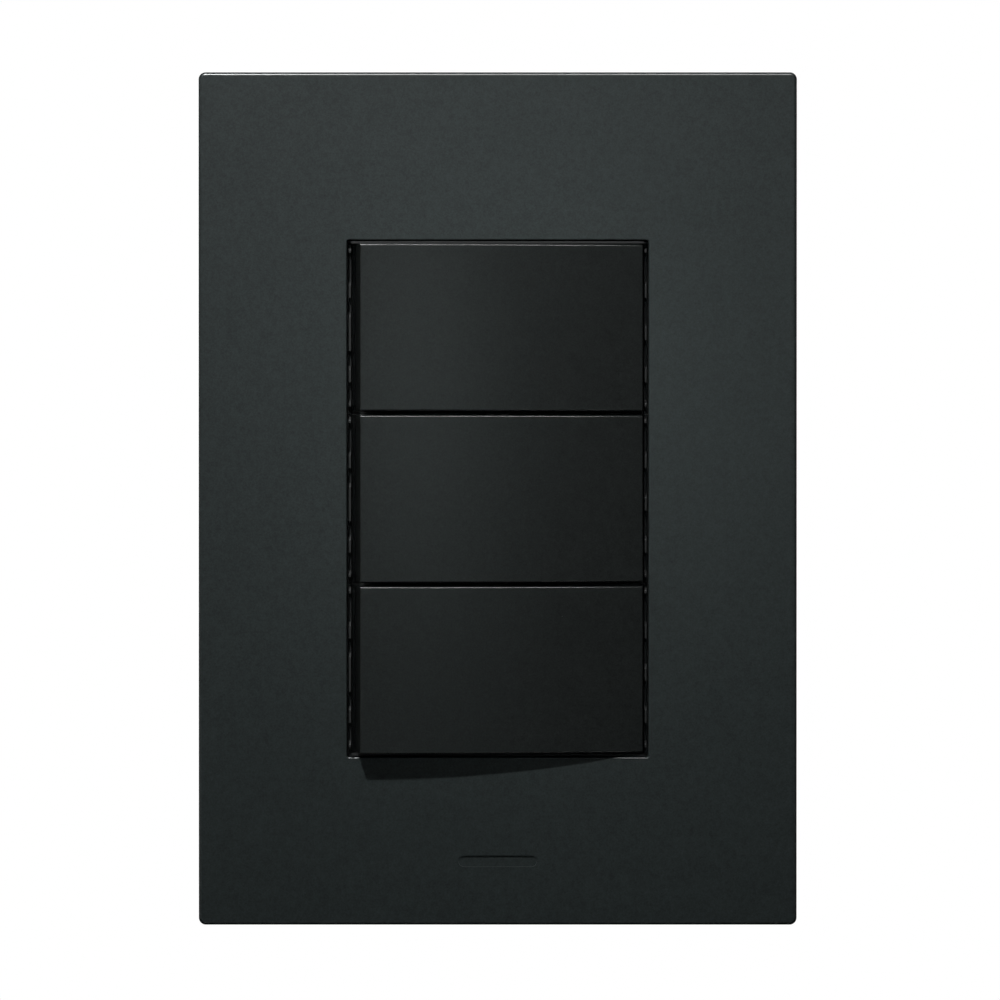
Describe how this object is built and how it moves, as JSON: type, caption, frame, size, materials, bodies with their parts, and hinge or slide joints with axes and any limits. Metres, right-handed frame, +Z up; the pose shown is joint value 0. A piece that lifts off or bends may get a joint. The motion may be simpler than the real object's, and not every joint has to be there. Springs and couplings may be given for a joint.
{
  "type": "switch wall plate",
  "caption": "Upright rectangular wall plate in matte graphite with wide horizontal rocker switches in its window; each rocker tips left to right, and the plate pulls off its support frame.",
  "frame": {"origin": "midway between the two box screws, in the plane of the wall", "axes": "+X to the right seen from the front, +Y into the wall, +Z up"},
  "size_m": [0.0842, 0.0393, 0.12],
  "materials": {
    "plate": "fine matte, graphite",
    "rocker": "fine matte, black",
    "housing": "satin black",
    "base": "satin dark grey",
    "frame": "matte black",
    "carrier": "natural",
    "plunger": "natural, waxy",
    "brass": "stamped",
    "copper": "rolled copper alloy",
    "contact": "silver alloy",
    "screw": "zinc plated",
    "clamp": "zinc plated",
    "spring": "spring wire"
  },
  "bodies": {
    "module_frame": {"support_frame": "frame", "mounting_screws": "screw", "top_housing": "housing", "top_terminal_base": "base", "top_common_terminal": "brass", "top_left_terminal": "brass", "top_right_terminal": "brass", "top_fixed_contacts": "contact", "top_terminal_screws": "screw", "top_clamp_plates": "clamp", "middle_housing": "housing", "middle_terminal_base": "base", "middle_common_terminal": "brass", "middle_left_terminal": "brass", "middle_right_terminal": "brass", "middle_fixed_contacts": "contact", "middle_terminal_screws": "screw", "middle_clamp_plates": "clamp", "bottom_housing": "housing", "bottom_terminal_base": "base", "bottom_common_terminal": "brass", "bottom_left_terminal": "brass", "bottom_right_terminal": "brass", "bottom_fixed_contacts": "contact", "bottom_terminal_screws": "screw", "bottom_clamp_plates": "clamp"},
    "cover": {"cover_plate": "plate"},
    "top_rocker": {"top_rocker": "rocker", "top_rocker_carrier": "carrier", "top_plunger_spring": "spring"},
    "top_plunger": {"top_plunger": "plunger"},
    "top_lever": {"top_contact_lever": "copper", "top_lever_contacts": "contact"},
    "middle_rocker": {"middle_rocker": "rocker", "middle_rocker_carrier": "carrier", "middle_plunger_spring": "spring"},
    "middle_plunger": {"middle_plunger": "plunger"},
    "middle_lever": {"middle_contact_lever": "copper", "middle_lever_contacts": "contact"},
    "bottom_rocker": {"bottom_rocker": "rocker", "bottom_rocker_carrier": "carrier", "bottom_plunger_spring": "spring"},
    "bottom_plunger": {"bottom_plunger": "plunger"},
    "bottom_lever": {"bottom_contact_lever": "copper", "bottom_lever_contacts": "contact"}
  },
  "joints": [
    {"name": "cover_pull", "type": "slide", "parent": "module_frame", "child": "cover", "axis": [0, -1, 0], "range_m": [0, 0.03]},
    {"name": "top_rocker_tip", "type": "hinge", "parent": "module_frame", "child": "top_rocker", "pos_m": [0, -0.0028, 0.024], "axis": [0, 0, -1], "range_deg": [0, 9]},
    {"name": "top_plunger_slide", "type": "slide", "parent": "top_rocker", "child": "top_plunger", "axis": [0.0785, -0.9969, 0], "range_m": [0, 0.001], "stiffness_N_per_m": 600, "springref_m": -0.002, "deforming": ["top_plunger_spring"]},
    {"name": "top_lever_tilt", "type": "hinge", "parent": "module_frame", "child": "top_lever", "pos_m": [0, 0.0142, 0.024], "axis": [0, 0, -1], "range_deg": [-12, 0]},
    {"name": "middle_rocker_tip", "type": "hinge", "parent": "module_frame", "child": "middle_rocker", "pos_m": [0, -0.0028, 0], "axis": [0, 0, -1], "range_deg": [0, 9]},
    {"name": "middle_plunger_slide", "type": "slide", "parent": "middle_rocker", "child": "middle_plunger", "axis": [0.0785, -0.9969, 0], "range_m": [0, 0.001], "stiffness_N_per_m": 600, "springref_m": -0.002, "deforming": ["middle_plunger_spring"]},
    {"name": "middle_lever_tilt", "type": "hinge", "parent": "module_frame", "child": "middle_lever", "pos_m": [0, 0.0142, 0], "axis": [0, 0, -1], "range_deg": [-12, 0]},
    {"name": "bottom_rocker_tip", "type": "hinge", "parent": "module_frame", "child": "bottom_rocker", "pos_m": [0, -0.0028, -0.024], "axis": [0, 0, -1], "range_deg": [0, 9]},
    {"name": "bottom_plunger_slide", "type": "slide", "parent": "bottom_rocker", "child": "bottom_plunger", "axis": [0.0785, -0.9969, 0], "range_m": [0, 0.001], "stiffness_N_per_m": 600, "springref_m": -0.002, "deforming": ["bottom_plunger_spring"]},
    {"name": "bottom_lever_tilt", "type": "hinge", "parent": "module_frame", "child": "bottom_lever", "pos_m": [0, 0.0142, -0.024], "axis": [0, 0, -1], "range_deg": [-12, 0]}
  ],
  "couplings": [
    {"joint": "top_lever_tilt", "follows": "top_rocker_tip", "ratio": -1.3333},
    {"joint": "middle_lever_tilt", "follows": "middle_rocker_tip", "ratio": -1.3333},
    {"joint": "bottom_lever_tilt", "follows": "bottom_rocker_tip", "ratio": -1.3333}
  ]
}
